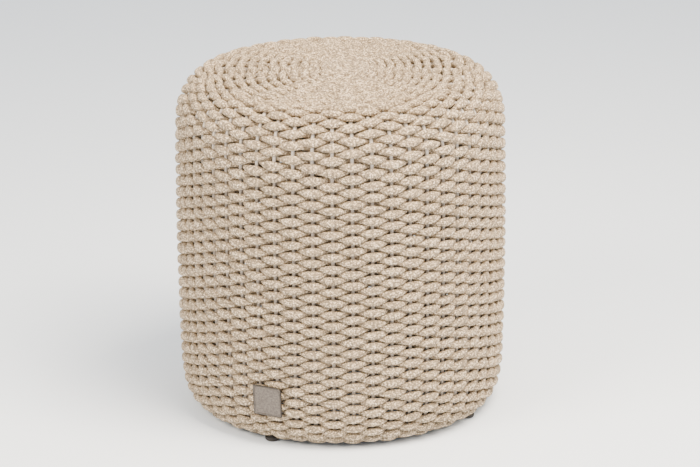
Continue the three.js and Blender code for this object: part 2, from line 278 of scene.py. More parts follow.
class FOOTSTOOL_PG_rope(bpy.types.PropertyGroup):
    """Rope and weave."""

    crest_height: bpy.props.FloatProperty(
        name="Stitch height", description="Height of a stitch on the side, where it passes over a rod",
        default=0.0110, min=0.006, max=0.016, unit="LENGTH")
    seat_crest_height: bpy.props.FloatProperty(
        name="Seat stitch width", description="Width of a stitch on the seat",
        default=0.0092, min=0.006, max=0.016, unit="LENGTH")
    crest_thickness: bpy.props.FloatProperty(
        name="Stitch thickness", description="Rope thickness where it passes over a rod",
        default=0.0085, min=0.004, max=0.012, unit="LENGTH")
    crossing_thickness: bpy.props.FloatProperty(
        name="Crossing thickness", description="Rope thickness between two rods",
        default=0.0108, min=0.004, max=0.014, unit="LENGTH")
    standing_out: bpy.props.FloatProperty(
        name="Standing out",
        description="How far the rods and the weave stand out past their places in the CAD model",
        default=0.0010, min=0, max=0.003, unit="LENGTH")
    hem_sag: bpy.props.FloatProperty(
        name="Hem sag", description="How far the lowest turns bulge out past the CAD model",
        default=0.0016, min=0, max=0.004, unit="LENGTH")
    flatness: bpy.props.FloatProperty(
        name="Stitch flatness",
        description="How much longer the rope lies in front of the rods than behind them",
        default=0.13, min=0, max=0.25)
    seat_flatness: bpy.props.FloatProperty(
        name="Seat stitch flatness", description="The same on the seat",
        default=0.05, min=0, max=0.25)
    shoulder_flatness: bpy.props.FloatProperty(
        name="Shoulder stitch flatness", description="The same on the shoulder",
        default=0.19, min=0, max=0.25)
    seat_depth: bpy.props.FloatProperty(
        name="Seat stitch depth", description="How much deeper the rope dips under the rods of the seat",
        default=0.45, min=0, max=0.6)
    squareness: bpy.props.FloatProperty(
        name="Section squareness", description="Two for an oval rope section, more where turns press it flat",
        default=2.2, min=2, max=4)
    unevenness: bpy.props.FloatProperty(
        name="Unevenness", description="How far the hand-woven rows stray",
        default=0.0004, min=0, max=0.002, unit="LENGTH")
    light_yarn: bpy.props.FloatVectorProperty(
        name="Light yarn", description="Colour of the light yarns in the braid",
        default=(0.91, 0.695, 0.455), size=3, min=0, max=1, subtype="COLOR")
    middle_yarn: bpy.props.FloatVectorProperty(
        name="Middle yarn", description="Colour of most yarns in the braid",
        default=(0.375, 0.282, 0.180), size=3, min=0, max=1, subtype="COLOR")
    dark_yarn: bpy.props.FloatVectorProperty(
        name="Dark yarn", description="Colour of the dark flecks in the braid",
        default=(0.19, 0.149, 0.110), size=3, min=0, max=1, subtype="COLOR")


class FOOTSTOOL_PG_metal(bpy.types.PropertyGroup):
    """Rods, tubes, plate and glides."""

    rod_diameter: bpy.props.FloatProperty(
        name="Rod diameter", description="Diameter of the rods that the rope is woven round",
        default=0.0047, min=0.002, max=0.005, unit="LENGTH")
    tube_diameter: bpy.props.FloatProperty(
        name="Tube diameter", description="Diameter of the rings of the frame",
        default=2 * TUBE_RADIUS, min=0.008, max=0.014, unit="LENGTH")
    coat: bpy.props.FloatVectorProperty(
        name="Powder coat", description="Colour of the powder coat",
        default=(0.90, 0.82, 0.74), size=3, min=0, max=1, subtype="COLOR")
    # The tubes' coat is the powder coat darkened as painted shade, for the frame that is seen inside the
    # weave
    tube_coat_painted_shade: bpy.props.FloatVectorProperty(
        name="Tube coat", description="Colour of the powder coat on the tubes of the frame",
        default=(0.46, 0.42, 0.36), size=3, min=0, max=1, subtype="COLOR")
    plate: bpy.props.FloatVectorProperty(
        name="Plate metal", description="Colour of the name plate",
        default=(0.122, 0.103, 0.089), size=3, min=0, max=1, subtype="COLOR")
    glide: bpy.props.FloatVectorProperty(
        name="Glide plastic", description="Colour of the glides",
        default=(0.028, 0.025, 0.024), size=3, min=0, max=1, subtype="COLOR")


class FOOTSTOOL_PG_stage(bpy.types.PropertyGroup):
    """Floor, light and camera."""

    floor: bpy.props.FloatVectorProperty(
        name="Floor", description="Colour of the floor",
        default=(0.80, 0.87, 0.97), size=3, min=0, max=1, subtype="COLOR")
    key_power: bpy.props.FloatProperty(
        name="Key light", description="Power of the large light above the front",
        default=175, min=0, subtype="POWER")
    left_power: bpy.props.FloatProperty(
        name="Left fill light", description="Power of the light at the left",
        default=104.5, min=0, subtype="POWER")
    right_power: bpy.props.FloatProperty(
        name="Right fill light", description="Power of the light at the right",
        default=71.5, min=0, subtype="POWER")
    sky_strength: bpy.props.FloatProperty(
        name="Sky", description="Strength of the even light from all round",
        default=1.07, min=0)


# Shader nodes from Python expressions

class Wire:
    """A node's output that takes arithmetic. Each sum adds a Math node."""

    def __init__(self, finish, socket):
        self.finish, self.socket = finish, socket

    def maths(self, operation, *values):
        return self.finish.node("ShaderNodeMath", {"operation": operation}, dict(enumerate(values)))

    def __add__(self, other):
        return self.maths("ADD", self, other)

    __radd__ = __add__

    def __sub__(self, other):
        return self.maths("SUBTRACT", self, other)

    def __rsub__(self, other):
        return self.maths("SUBTRACT", other, self)

    def __mul__(self, other):
        return self.maths("MULTIPLY", self, other)

    __rmul__ = __mul__

    def __truediv__(self, other):
        return self.maths("DIVIDE", self, other)

    def __pow__(self, other):
        return self.maths("POWER", self, other)

    def floor(self):
        return self.maths("FLOOR", self)

    def fraction(self):
        return self.maths("FRACT", self)

    def sine(self):
        return self.maths("SINE", self)

    def size(self):
        return self.maths("ABSOLUTE", self)

    def larger(self, other):
        return self.maths("MAXIMUM", self, other)

    def odd(self):
        """Nought for even whole numbers and one for odd ones."""
        return self.maths("MODULO", self.maths("ABSOLUTE", self), 2)

    def between(self, low, high):
        """The value spread from nought to one between two limits."""
        return self.finish.node("ShaderNodeMapRange", {"interpolation_type": "SMOOTHSTEP"},
                                {"Value": self, "From Min": low, "From Max": high})


class Finish:
    """A material under construction."""

    def __init__(self, name):
        self.material = bpy.data.materials.new(name)
        self.material.use_nodes = True
        self.tree = self.material.node_tree
        self.tree.nodes.clear()
        self.shader = self.tree.nodes.new("ShaderNodeBsdfPrincipled")
        out = self.tree.nodes.new("ShaderNodeOutputMaterial")
        self.tree.links.new(self.shader.outputs[0], out.inputs[0])

    def node(self, kind, settings=None, values=None, output=0):
        """Adds a node: settings first, then values or links for its sockets. Gives one of its outputs."""
        made = self.tree.nodes.new(kind)
        for key, value in (settings or {}).items():
            if key == "stops":
                while len(made.color_ramp.elements) < len(value):
                    made.color_ramp.elements.new(0.5)
                for stop, (place, colour) in zip(made.color_ramp.elements, value):
                    stop.position, stop.color = place, (*colour, 1)
            else:
                setattr(made, key, value)
        for key, value in (values or {}).items():
            self.set(made.inputs[key], value)
        return Wire(self, made.outputs[output])

    def set(self, socket, value):
        """Links a socket to a node's output, or gives it a number or a colour."""
        if isinstance(value, Wire):
            self.tree.links.new(value.socket, socket)
        elif socket.type == "RGBA" and len(value) == 3:
            socket.default_value = (*value, 1)
        else:
            socket.default_value = value

    def surface(self, **values):
        """Sets the surface shader's sockets and gives the finished material."""
        for key, value in values.items():
            self.set(self.shader.inputs[key.replace("_", " ")], value)
        return self.material

    def mix(self, share, first, second):
        """Colour between two colours."""
        return self.node("ShaderNodeMix", {"data_type": "RGBA"}, {0: share, 6: first, 7: second}, 2)

    def noise(self, where, scale, detail=2, roughness=0.5):
        """A noise pattern, about nought to one."""
        return self.node("ShaderNodeTexNoise", {}, {
            "Vector": where, "Scale": scale, "Detail": detail, "Roughness": roughness})

    def bump(self, height, distance, strength=1.0):
        """A normal for a relief as deep as a distance."""
        values = {"Height": height, "Distance": distance, "Strength": strength}
        return self.node("ShaderNodeBump", {}, values)

    def place(self):
        """The place on the object, in metres."""
        return self.node("ShaderNodeTexCoord", {}, {}, "Object")

    def part(self, where, index):
        """One of a vector's three numbers."""
        return self.node("ShaderNodeSeparateXYZ", {}, {0: where}, index)

    def along(self, name):
        """The two numbers of a UV map: along the piece and round it."""
        uv = self.node("ShaderNodeUVMap", {"uv_map": name})
        return self.part(uv, 0), self.part(uv, 1)

    def vector(self, x, y, z=0.0):
        return self.node("ShaderNodeCombineXYZ", {}, {0: x, 1: y, 2: z})


# Materials

def tinted(colour, share):
    """A colour times a number."""
    return tuple(part * share for part in colour)


def braided_rope(colours):
    """Heathered braid: yarns that cross over and under round the rope, with light and dark fibres and painted
    shade in the creases between the yarns.
    """
    finish = Finish("heathered_braided_rope")
    along, around = finish.along("braid")
    yarns, lay = 14, 0.034
    first = (around + along / lay) * yarns
    second = (around - along / lay) * yarns
    over = (first.floor() + second.floor()).odd()
    under = 1 - over
    across = first.fraction() * over + second.fraction() * under
    length = second.fraction() * over + first.fraction() * under
    ridge = (1 - (across * 2 - 1) ** 2) * (0.55 + 0.45 * (length * math.pi).sine())
    cell = finish.vector(first.floor(), second.floor(), over)
    chance = finish.node("ShaderNodeTexWhiteNoise", {"noise_dimensions": "3D"}, {"Vector": cell})
    fibres = finish.noise(finish.vector(along * 1400, around * 60, over), 1.0, 3, 0.7)
    flecks = finish.noise(finish.vector(along * 480, around * 15), 1.0, 2, 0.65)
    patches = finish.noise(finish.vector(along * 90, around * 2), 1.0, 2)
    middle = 0.825
    tone = chance * 0.46 + flecks * 1.80 + fibres * 0.50 + patches * 0.12 - middle
    palest_fibre = (1.0, 0.85, 0.66)
    colour = finish.node("ShaderNodeValToRGB", {"stops": [
        (0.34, tuple(colours.dark_yarn)), (0.64, tuple(colours.middle_yarn)),
        (0.82, tuple(colours.light_yarn)), (0.95, palest_fibre)]}, {"Fac": tone})
    # Painted shade: the groove colour darkens the creases between the yarns
    groove = tinted(colours.middle_yarn, 0.62)
    shaded = finish.mix(ridge.between(0.0, 0.5), groove, colour)
    relief = finish.bump(ridge + fibres * 0.3, 0.0009)
    return finish.surface(Base_Color=shaded, Roughness=0.86, Normal=relief,
                          Sheen_Weight=0.08, Sheen_Roughness=0.5, Specular_IOR_Level=0.15)


def powder_coat(name, colour, painted_light_and_shade=False):
    """Satin powder coat with a faint orange peel. The rods' coat has painted light on the shoulder and
    painted shade elsewhere.
    """
    finish = Finish(name)
    place = finish.place()
    peel = finish.noise(place, 900, 2)
    dust = finish.noise(place, 35, 4)
    tone = finish.mix(dust.between(0.35, 0.7), tinted(colour, 0.82), tuple(colour))
    if painted_light_and_shade:
        # Painted light and shade: the coat keeps its full colour where the shoulder is lit, and is a darker
        # shaded copy on the side and the seat
        height = finish.part(place, 2)
        pale = height.between(PAINTED_LIGHT_FROM, PAINTED_LIGHT_TO) * (1 - height.between(PAINTED_SHADE_FROM, PAINTED_SHADE_TO))
        dark = tuple(part * share for part, share in zip(colour, PAINTED_SHADE_SHARES))
        tone = finish.mix(pale, dark, tone)
    return finish.surface(Base_Color=tone, Roughness=0.48 + dust * 0.2, Specular_IOR_Level=0.25,
                          Normal=finish.bump(peel, 0.00015, 0.5))


def plate_metal(colour):
    """Satin metal with fine brushing along its length and painted shade darkening its edges."""
    finish = Finish("satin_plate_metal")
    across, up = finish.along("face")
    streaks = finish.noise(finish.vector(across * 60, up * 4200), 1.0, 3, 0.6)
    cloud = finish.noise(finish.place(), 420, 4, 0.65)
    bright = tuple(min(1, part) for part in tinted(colour, 1.38))
    tone = finish.mix((streaks * 0.5 + cloud * 0.5).between(0.36, 0.64), tinted(colour, 0.66), bright)
    # Painted shade: a dark band along the plate's edges
    rim = (across.size() / (PLATE_WIDTH / 2)).larger(up.size() / (PLATE_HEIGHT / 2)).between(0.90, 0.96)
    tone = finish.mix(rim, tone, tinted(colour, 0.35))
    return finish.surface(Base_Color=tone, Metallic=0.75, Roughness=0.34 + streaks * 0.16,
                          Normal=finish.bump(streaks, 0.00008, 0.5))


def plain_steel():
    """Bright zinc-plated steel of the plate's fixings."""
    finish = Finish("plain_bright_steel")
    spots = finish.noise(finish.place(), 420, 3)
    tone = finish.mix(spots, (0.42, 0.42, 0.41), (0.66, 0.66, 0.64))
    return finish.surface(Base_Color=tone, Metallic=1.0, Roughness=0.25 + spots * 0.2,
                          Normal=finish.bump(spots, 0.0001, 0.4))


def glide_plastic(colour):
    """Black moulded plastic with fine grain, paler where it has rubbed on the floor."""
    finish = Finish("moulded_black_plastic")
    place = finish.place()
    grain = finish.noise(place, 1500, 2)
    height = finish.part(place, 2)
    worn = (1 - height.between(0.0, 0.0016)) * finish.noise(place, 500, 4).between(0.4, 0.7)
    tone = finish.mix(worn * 0.5, tuple(colour), (0.16, 0.15, 0.14))
    return finish.surface(Base_Color=tone, Roughness=0.5 + grain * 0.2, Specular_IOR_Level=0.3,
                          Normal=finish.bump(grain, 0.0001, 0.5))


def studio_paper(colour):
    """Pale seamless paper."""
    finish = Finish("pale_floor")
    grain = finish.noise(finish.place(), 300, 2)
    tone = finish.mix(grain, tinted(colour, 0.985), tuple(colour))
    return finish.surface(Base_Color=tone, Roughness=0.95, Specular_IOR_Level=0.1)


# Meshes

def finished(name, bm, material, replaced=(), stage=False, flat_over=1.0):
    """Makes a piece from a bmesh, with its material, and puts it on the footstool's body or on the stage.

    Faces of flat_over square metres and more are shaded flat.
    """
    mesh = bpy.data.meshes.new(name)
    for face in bm.faces:
        face.smooth = face.calc_area() < flat_over
    bm.to_mesh(mesh)
    bm.free()
    piece = bpy.data.objects.new(name, mesh)
    bpy.context.scene.collection.objects.link(piece)
    mesh.materials.append(material)
    if stage:
        return piece
    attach(piece, "root")
    if replaced:
        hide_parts(*replaced)
    return piece


def tube_on_path(centres, wide, thick, half_width, half_thickness, sides, closed=False, squareness=2.0):
    """A bmesh tube: a grid whose columns become the sections on a path, seam merged and ends capped."""
    count = len(centres)
    columns = count if closed else count - 1
    bm = bmesh.new()
    bmesh.ops.create_grid(bm, x_segments=columns, y_segments=sides, size=1.0, calc_uvs=True)
    layer = bm.loops.layers.uv.verify()
    layer_name = layer.name
    bm.verts.ensure_lookup_table()
    spot = np.array([v.co[:2] for v in bm.verts])
    column = np.rint((spot[:, 0] + 1) / 2 * columns).astype(int)
    side = np.rint((spot[:, 1] + 1) / 2 * sides).astype(int)
    section = column % count if closed else column
    turn = (side % sides) / sides * FULL_TURN
    across, out = (np.sign(part) * np.abs(part) ** (2 / squareness) for part in (np.cos(turn), np.sin(turn)))
    width = (half_width[section] * across)[:, None] * wide[section]
    depth = (half_thickness[section] * out)[:, None] * thick[section]
    places = centres[section] + width + depth
    lengths = np.concatenate([[0], np.cumsum(np.linalg.norm(np.diff(centres, axis=0), axis=1))])
    if closed:
        lengths = np.append(lengths, lengths[-1] + np.linalg.norm(centres[0] - centres[-1]))
    for vert, place, col, row in zip(bm.verts, places, column, side):
        vert.co = place
        for loop in vert.link_loops:
            loop[layer].uv = (lengths[col], row / sides)
    bmesh.ops.remove_doubles(bm, verts=bm.verts, dist=1e-7)
    if not closed:
        rims = [edge for edge in bm.edges if edge.is_boundary]
        bmesh.ops.holes_fill(bm, edges=rims, sides=sides)
    bmesh.ops.recalc_face_normals(bm, faces=bm.faces)
    return bm, layer_name


# Rope

def by_length(s, *stops):
    """A value at lengths along the outline, on straight lines between stops of a length and a value."""
    return np.interp(s, *zip(*stops))


def unit(vectors):
    """Vectors brought to a length of one."""
    return vectors / np.linalg.norm(vectors, axis=1)[:, None]


def row_pitch(s):
    """Distance along the outline from one turn of a strand to its next."""
    return by_length(s, (0, 0.0180), (0.024, 0.0170), (0.034, 0.0145), (0.060, 0.0136), (0.150, 0.0138),
                     (SHOULDER_START + 0.02, 0.0155), (SHOULDER_START + 0.05, 0.0168),
                     (SIDE_START + 0.01, 0.0166), (SIDE_START + 0.07, 0.0151),
                     (HEM_START, 0.0150), (weave.total, 0.0145))


def row_places():
    """Length along the outline for each turn of a strand, from the hem's lip to the seat's middle."""
    steps = 400
    s, places = weave.total - HEM_START_GAP, []
    while s > SEAT_END_RADIUS:
        places.append(s)
        s -= float(row_pitch(s)) / steps
    return np.arange(len(places)) / steps, np.array(places)


row_turns, row_lengths = row_places()


def wander(turns, seed, slow, fast):
    """A smooth random number along a strand, about minus one to one."""
    waves, usual_reach = 7, 2.6
    chance = np.random.default_rng(seed)
    total = np.zeros_like(turns)
    for _ in range(waves):
        total += np.sin(turns * chance.uniform(slow, fast) * FULL_TURN + chance.uniform(0, FULL_TURN))
    return total / usual_reach


def drift(r):
    """Sideways shift of the hand-woven seat: its middle to the right, and its outer rows a little left."""
    whorl = np.clip(1 - r / WHORL_RADIUS, 0, 1) ** 1.5
    seat = np.clip((SEAT_SHIFT_RADIUS - r) / SEAT_SHIFT_BLEND, 0, 1)
    return WHORL_SHIFT * whorl - SEAT_SHIFT * seat


def past_legs(azimuth, s):
    """Parts the hem's rows round the four leg stubs."""
    quarter = math.pi / 2
    from_leg = BASE_RING_RADIUS * (np.mod(azimuth - LEG_AZIMUTH + quarter / 2, quarter) - quarter / 2)
    clearance = LEG_CLEARANCE * np.exp(-((from_leg / LEG_REACH) ** 2))
    across = s - LEG_PLACE
    return LEG_PLACE + np.sign(across) * np.hypot(across, clearance)


def seat_turn(strand):
    """The turn at which a strand meets the rods of the seat, which are every second rod of the side.

    The waves over the side's rods and over the seat's meet at every fourth rod, from the third one on.
    """
    first = float(np.interp(-HOOP_RADIUS, -row_lengths, row_turns)) - strand / 2
    return (math.ceil((first * ROD_COUNT - 3) / 4) * 4 + 3) / ROD_COUNT


class Stretch:
    """A strand of the rope from one turn to another: its course, and its way over and under the rods."""

    def __init__(self, strand, start, stop, look, rod_radius):
        self.strand, self.look = strand, look
        per_turn = ROD_COUNT * COLUMNS_PER_ROD
        self.turns = np.arange(round(start * per_turn), round(stop * per_turn) + 1) / per_turn
        self.azimuth = self.turns * FULL_TURN + ROD_PHASE
        even_course = np.interp(self.turns + strand / 2, row_turns, row_lengths)
        self.pitch = row_pitch(even_course)
        self.s = self.course(even_course)
        self.on_hub = np.clip((COIL_RADIUS - self.s) / COIL_BLEND, 0, 1)
        self.on_side = by_length(self.s, (SHOULDER_START, 0), (SIDE_START, 1))
        self.past_rods = by_length(self.s, (ROD_END + 0.008, 0), (ROD_END + 0.022, 1))
        on_seat = self.turns >= seat_turn(strand)
        rods = np.where(on_seat, ROD_COUNT / 2, ROD_COUNT)
        first_rod = np.where(on_seat, FULL_TURN / ROD_COUNT, 0)
        over_first = 1 if strand == 0 else -1
        self.wave = over_first * np.cos(rods / 2 * (self.azimuth - ROD_PHASE - first_rod))
        rod_gap = FULL_TURN * np.maximum(np.interp(self.s, weave.s, weave.r), 0.01) / rods
        self.gap_share = rod_gap / FULL_SWING_GAP
        self.full_swing = rod_radius + look.crest_thickness / 2
        swing = self.full_swing * np.minimum(1, self.gap_share ** 0.75) * (1 - self.on_hub)
        self.swing = swing * (1 - LIP_SWING_LOSS * self.past_rods)

    def course(self, s):
        """Tilts the lower rows, lets all rows stray and leads them past the legs."""
        stray = self.look.unevenness * by_length(
            s, (0.05, 1.5), (SHOULDER_START, 3), (SIDE_START, 3), (SIDE_START + 0.05, 1))
        tilt = by_length(s, (SIDE_START + 0.12, 0), (SIDE_START + 0.24, ROW_TILT),
                         (HEM_START, ROW_TILT), (weave.total - 0.02, 0))
        s = s - tilt * np.sin(self.azimuth) + stray * wander(self.turns, 11 + self.strand, 6, 30)
        return np.clip(past_legs(self.azimuth, s), 0.0, weave.total)

    def height(self):
        """How far outside the rods' own middles the rope's middle lies."""
        look = self.look
        flat = by_length(self.s, (SHOULDER_START - 0.01, look.seat_flatness),
                         (SHOULDER_START + 0.015, look.shoulder_flatness),
                         (SIDE_START - 0.02, look.shoulder_flatness), (SIDE_START + 0.01, look.flatness))
        rise = self.wave + 2 * flat * (1 - self.wave ** 2)
        dip = SIDE_DIP * self.on_side + (1 + look.seat_depth) * (1 - self.on_side)
        rise = np.where(rise < 0, rise * dip, rise)
        lost_swing = self.full_swing - self.swing
        lifted = lost_swing * (LOSS_TO_LIFT + LIP_EXTRA_LIFT * self.past_rods)
        lift = self.full_swing * self.on_hub + lifted * (1 - self.on_hub)
        sag = look.hem_sag * by_length(self.s, (HEM_START + 0.02, 0), (HEM_START + 0.05, 1),
                                       (ROD_END + 0.015, 1), (ROD_END + 0.03, 0))
        height = rise * self.swing + lift + sag + look.standing_out
        return height + look.unevenness * 0.5 * wander(self.turns, 21 + self.strand, 9, 40)

    def half_width(self, height):
        """Half the rope's width along the outline. It is widest over a rod and squeezed between two."""
        look = self.look
        crest = by_length(self.s, (COIL_RADIUS, look.crest_height), (0.070, look.seat_crest_height),
                          (SHOULDER_START - 0.01, look.seat_crest_height),
                          (SHOULDER_START + 0.02, look.crest_height))
        wider_row = np.maximum(0, self.pitch - row_pitch(HEM_START))
        crest = crest + wider_row * ROW_FILL * (self.s > SHOULDER_START)
        squeezed = self.pitch / 2 * by_length(
            self.s, (0.05, 0.97), (0.07, 0.91), (SHOULDER_START, 0.95), (SIDE_START, 1))
        widest = np.where(self.wave > 0, crest, crest + (squeezed - crest) * (1 - self.on_side))
        share = np.abs(self.wave) ** 1.5 * np.minimum(1, self.swing / self.full_swing)
        uneven_size = 1 + SIZE_UNEVENNESS * wander(self.turns, 31 + self.strand, 8, 36)
        half = (squeezed + (widest - squeezed) * share) / 2 * uneven_size
        half = half * weave.spacing(self.s, ROD_DEPTH - height)
        return half * (1 - self.on_hub) + self.pitch / 4 * COIL_FILL * self.on_hub

    def half_thickness(self):
        """Half the rope's thickness through the weave. It is pressed flat over a rod."""
        crossing, crest = self.look.crossing_thickness, self.look.crest_thickness
        half = (crossing + (crest - crossing) * self.wave ** 2) / 2
        half = half * np.minimum(1, self.gap_share ** 0.3)
        return half * (1 - self.on_hub) + COIL_HALF_THICKNESS * self.on_hub

    def path(self):
        """Centres, directions and half sizes of the rope's sections."""
        height = self.height()
        r, z, out_r, out_z = weave.at(self.s, ROD_DEPTH)
        r, z = r + height * out_r, z + height * out_z
        sine, cosine = np.sin(self.azimuth), np.cos(self.azimuth)
        centres = np.stack([r * sine + drift(r), -r * cosine, z], 1)
        outwards = np.stack([out_r * sine, -out_r * cosine, out_z], 1)
        forward = unit(np.gradient(centres, axis=0))
        wide = unit(np.cross(forward, outwards))
        return centres, wide, np.cross(wide, forward), self.half_width(height), self.half_thickness()


def round_off(half, first, last, columns=3):
    """Tapers a strand's real ends to a rounded tip."""
    taper = np.sqrt(1 - (1 - (np.arange(columns) + 0.15) / columns) ** 2)
    half = half.copy()
    if first:
        half[:columns] *= taper
    if last:
        half[-columns:] *= taper[::-1]
    return half


class FOOTSTOOL_OT_rope_cover(bpy.types.Operator):
    """Weave the rope cover: two strands, one over the odd rods and one over the even rods"""

    bl_idname = "footstool.rope_cover"
    bl_label = "Rope cover"

    def execute(self, context):
        look = context.scene.footstool_rope
        rod_radius = context.scene.footstool_metal.rod_diameter / 2
        material = braided_rope(look)
        zones = ["hem", "side_low", "side_high", "shoulder", "seat"]
        for strand in (0, 1):
            turns = row_turns[-1] - strand / 2
            ends = np.rint(np.linspace(0, turns, len(zones) + 1))
            ends[-1] = turns
            for index, zone in enumerate(zones):
                path = Stretch(strand, ends[index], ends[index + 1], look, rod_radius).path()
                first, last = index == 0, index == len(zones) - 1
                half_width = round_off(path[3], first, last)
                half_thick = round_off(path[4], first, last)
                bm, layer = tube_on_path(*path[:3], half_width, half_thick, ROPE_SIDES,
                                         squareness=look.squareness)
                piece = finished(f"rope_{zone}_{strand + 1}", bm, material, ("woven_cover",))
                piece.data.uv_layers[layer].name = "braid"
        return {"FINISHED"}


# Rods

def rod_path(azimuth, start, depth):
    """Centres and directions of one rod, from a length along the outline to just past the base ring."""
    s = np.concatenate([
        np.linspace(start, SEAT_EDGE, 7)[:-1], np.linspace(SEAT_EDGE, SIDE_START, 14),
        np.linspace(SIDE_START, HEM_START, 8)[1:], np.linspace(HEM_START, ROD_TIP, 14)[1:]])
    r, z, out_r, out_z = weave.at(s, depth)
    centres = np.stack([r * math.sin(azimuth) + drift(r), -r * math.cos(azimuth), z], 1)
    side = np.tile([math.cos(azimuth), math.sin(azimuth), 0], (len(s), 1))
    outwards = np.stack([out_r * math.sin(azimuth), -out_r * math.cos(azimuth), out_z], 1)
    return centres, side, outwards


def joined(parts):
    """One bmesh from several."""
    whole = bmesh.new()
    for part in parts:
        mesh = bpy.data.meshes.new("part")
        part.to_mesh(mesh)
        part.free()
        whole.from_mesh(mesh)
        bpy.data.meshes.remove(mesh)
    return whole


def ring_path(radius, height, columns, shift=0.0):
    """A closed circle with its directions."""
    turn = np.linspace(0, FULL_TURN, columns, endpoint=False)
    centres = np.stack([radius * np.cos(turn) + shift, radius * np.sin(turn), height + 0 * turn], 1)
    outwards = np.stack([np.cos(turn), np.sin(turn), 0 * turn], 1)
    up = np.tile([0.0, 0.0, 1.0], (columns, 1))
    return centres, outwards, up


def seat_hoop(depth, radius):
    """The hoop under the seat's edge that the other rods end on."""
    r, z, _, _ = weave.at(HOOP_RADIUS, depth + radius)
    half = np.full(HOOP_COLUMNS, radius)
    path = ring_path(float(r), float(z), HOOP_COLUMNS, float(drift(r)))
    return tube_on_path(*path, half, half, ROD_SIDES, closed=True)[0]


def hub_plate(depth):
    """The flat ring in the middle of the seat that every second rod ends on."""
    halfway_out = 0.020
    r, z, _, _ = weave.at(halfway_out, depth)
    bm = bmesh.new()
    bmesh.ops.create_circle(bm, cap_ends=False, radius=HUB_BORE_RADIUS, segments=48)
    grown = bmesh.ops.extrude_edge_only(bm, edges=bm.edges[:])
    outer = [v for v in grown["geom"] if isinstance(v, bmesh.types.BMVert)]
    growth = HUB_PLATE_RADIUS / HUB_BORE_RADIUS
    bmesh.ops.scale(bm, vec=(growth, growth, 1), verts=outer)
    bmesh.ops.solidify(bm, geom=bm.faces[:], thickness=HUB_THICKNESS)
    bmesh.ops.recalc_face_normals(bm, faces=bm.faces)
    bevel(bm, [e for e in bm.edges if e.calc_face_angle(0) > 1], HUB_EDGE, 2)
    bmesh.ops.translate(bm, verts=bm.verts, vec=(float(drift(r)), 0, float(z) - HUB_THICKNESS / 2))
    return bm


class FOOTSTOOL_OT_rods(bpy.types.Operator):
    """Bend the rods of the cage, with the hoop in the seat and the hub plate they end on"""

    bl_idname = "footstool.rods"
    bl_label = "Rod cage"

    def execute(self, context):
        metal = context.scene.footstool_metal
        radius = metal.rod_diameter / 2
        depth = ROD_DEPTH - context.scene.footstool_rope.standing_out
        parts = []
        for index in range(ROD_COUNT):
            azimuth = ROD_PHASE + FULL_TURN * index / ROD_COUNT
            path = rod_path(azimuth, HUB_RADIUS if index % 2 else HOOP_RADIUS, depth)
            half = np.full(len(path[0]), radius)
            parts.append(tube_on_path(*path, half, half, ROD_SIDES)[0])
        parts.append(seat_hoop(depth, radius))
        parts.append(hub_plate(depth))
        # The rods' coat carries painted light on the shoulder and painted shade on the side and the seat
        coat = powder_coat("rod_powder_coat_painted_light_and_shade", metal.coat, painted_light_and_shade=True)
        finished("rod_cage_round", joined(parts), coat, ("rod_cage",))
        return {"FINISHED"}


# Frame

def give(material, *starts):
    """Gives a material to the CAD nodes whose names start in one of these ways."""
    for node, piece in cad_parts.items():
        if node.startswith(starts):
            piece.data.materials.clear()
            piece.data.materials.append(material)


class FOOTSTOOL_OT_frame(bpy.types.Operator):
    """Coat the tube frame and turn its two rings"""

    bl_idname = "footstool.frame"
    bl_label = "Tube frame"

    def execute(self, context):
        metal = context.scene.footstool_metal
        # Painted shade: the tubes get a darker copy of the powder coat
        coat = powder_coat("tube_powder_coat_painted_shade", metal.tube_coat_painted_shade)
        low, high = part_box("seat_ring")
        rings = [("base_ring", BASE_RING_RADIUS, BASE_RING_HEIGHT),
                 ("seat_ring", SEAT_RING_RADIUS, (low.z + high.z) / 2)]
        half = np.full(RING_COLUMNS, metal.tube_diameter / 2)
        for node, radius, height in rings:
            path = ring_path(radius, height, RING_COLUMNS)
            bm, _ = tube_on_path(*path, half, half, RING_SIDES, closed=True)
            finished(f"{node}_round", bm, coat, (node,))
        give(coat, "upright", "seat_crossbar", "seat_half_bar", "leg_stub")
        give(plain_steel(), "plate_stud", "plate_backing", "plate_nut")
        return {"FINISHED"}


def bevel(bm, edges, offset, segments):
    bmesh.ops.bevel(bm, geom=edges, offset=offset, offset_type="OFFSET", affect="EDGES",
                    segments=segments, profile=0.5, material=-1)


def top_face(bm):
    """The large face that looks straight up."""
    return max((face for face in bm.faces if face.normal.z > 0.99), key=lambda face: face.calc_area())


def stepped(bm, face, share, rise):
    """Extrudes a level face, scales the new face about its middle and lifts it. Gives the new face."""
    new = bmesh.ops.extrude_discrete_faces(bm, faces=[face])["faces"][0]
    middle = new.calc_center_median()
    bmesh.ops.scale(bm, verts=new.verts, vec=(share, share, 1), space=Matrix.Translation(-middle))
    bmesh.ops.translate(bm, verts=new.verts, vec=(0, 0, rise))
    return new


